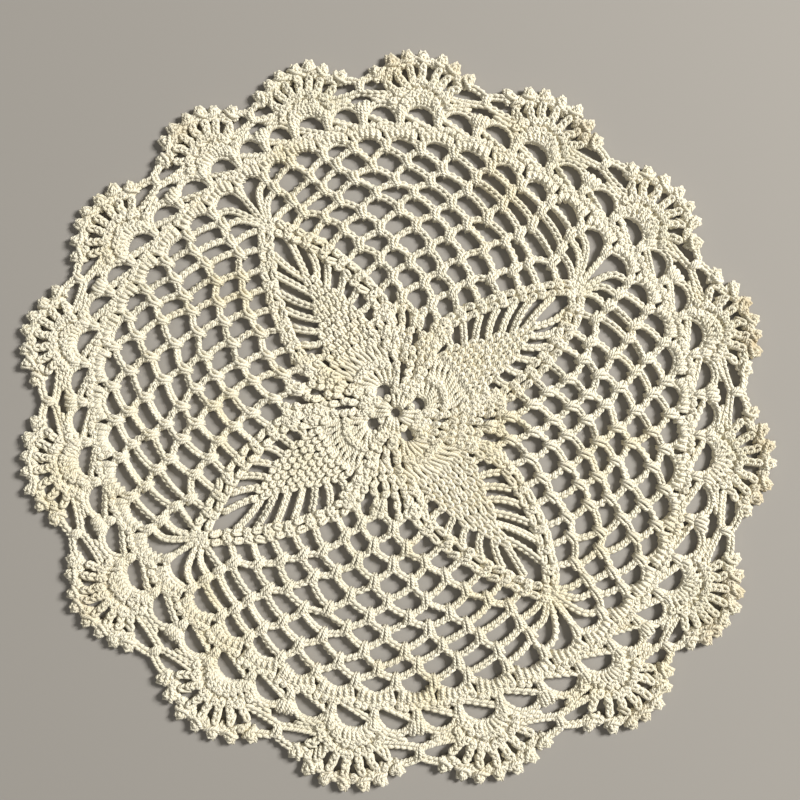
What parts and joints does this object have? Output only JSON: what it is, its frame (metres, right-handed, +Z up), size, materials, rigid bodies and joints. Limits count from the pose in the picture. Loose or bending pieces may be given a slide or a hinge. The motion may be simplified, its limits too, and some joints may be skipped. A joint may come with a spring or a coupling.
{
  "type": "lace doily",
  "caption": "Round crocheted lace doily with solid leaves in a chain-arch net and a scalloped edge of fans with pointed loops, lying flat.",
  "frame": {"origin": "middle of the outline's box, on the underside that rests on the table", "axes": "+Z up out of the flat doily; +X and +Y in its plane, with a leaf about 33 degrees from +X towards +Y"},
  "size_m": [0.2795, 0.2739, 0.0022],
  "materials": {
    "cotton_thread": "cream mercerised crochet cotton, soft lustre"
  },
  "bodies": {
    "root": {"doily": "cotton_thread"}
  },
  "joints": []
}
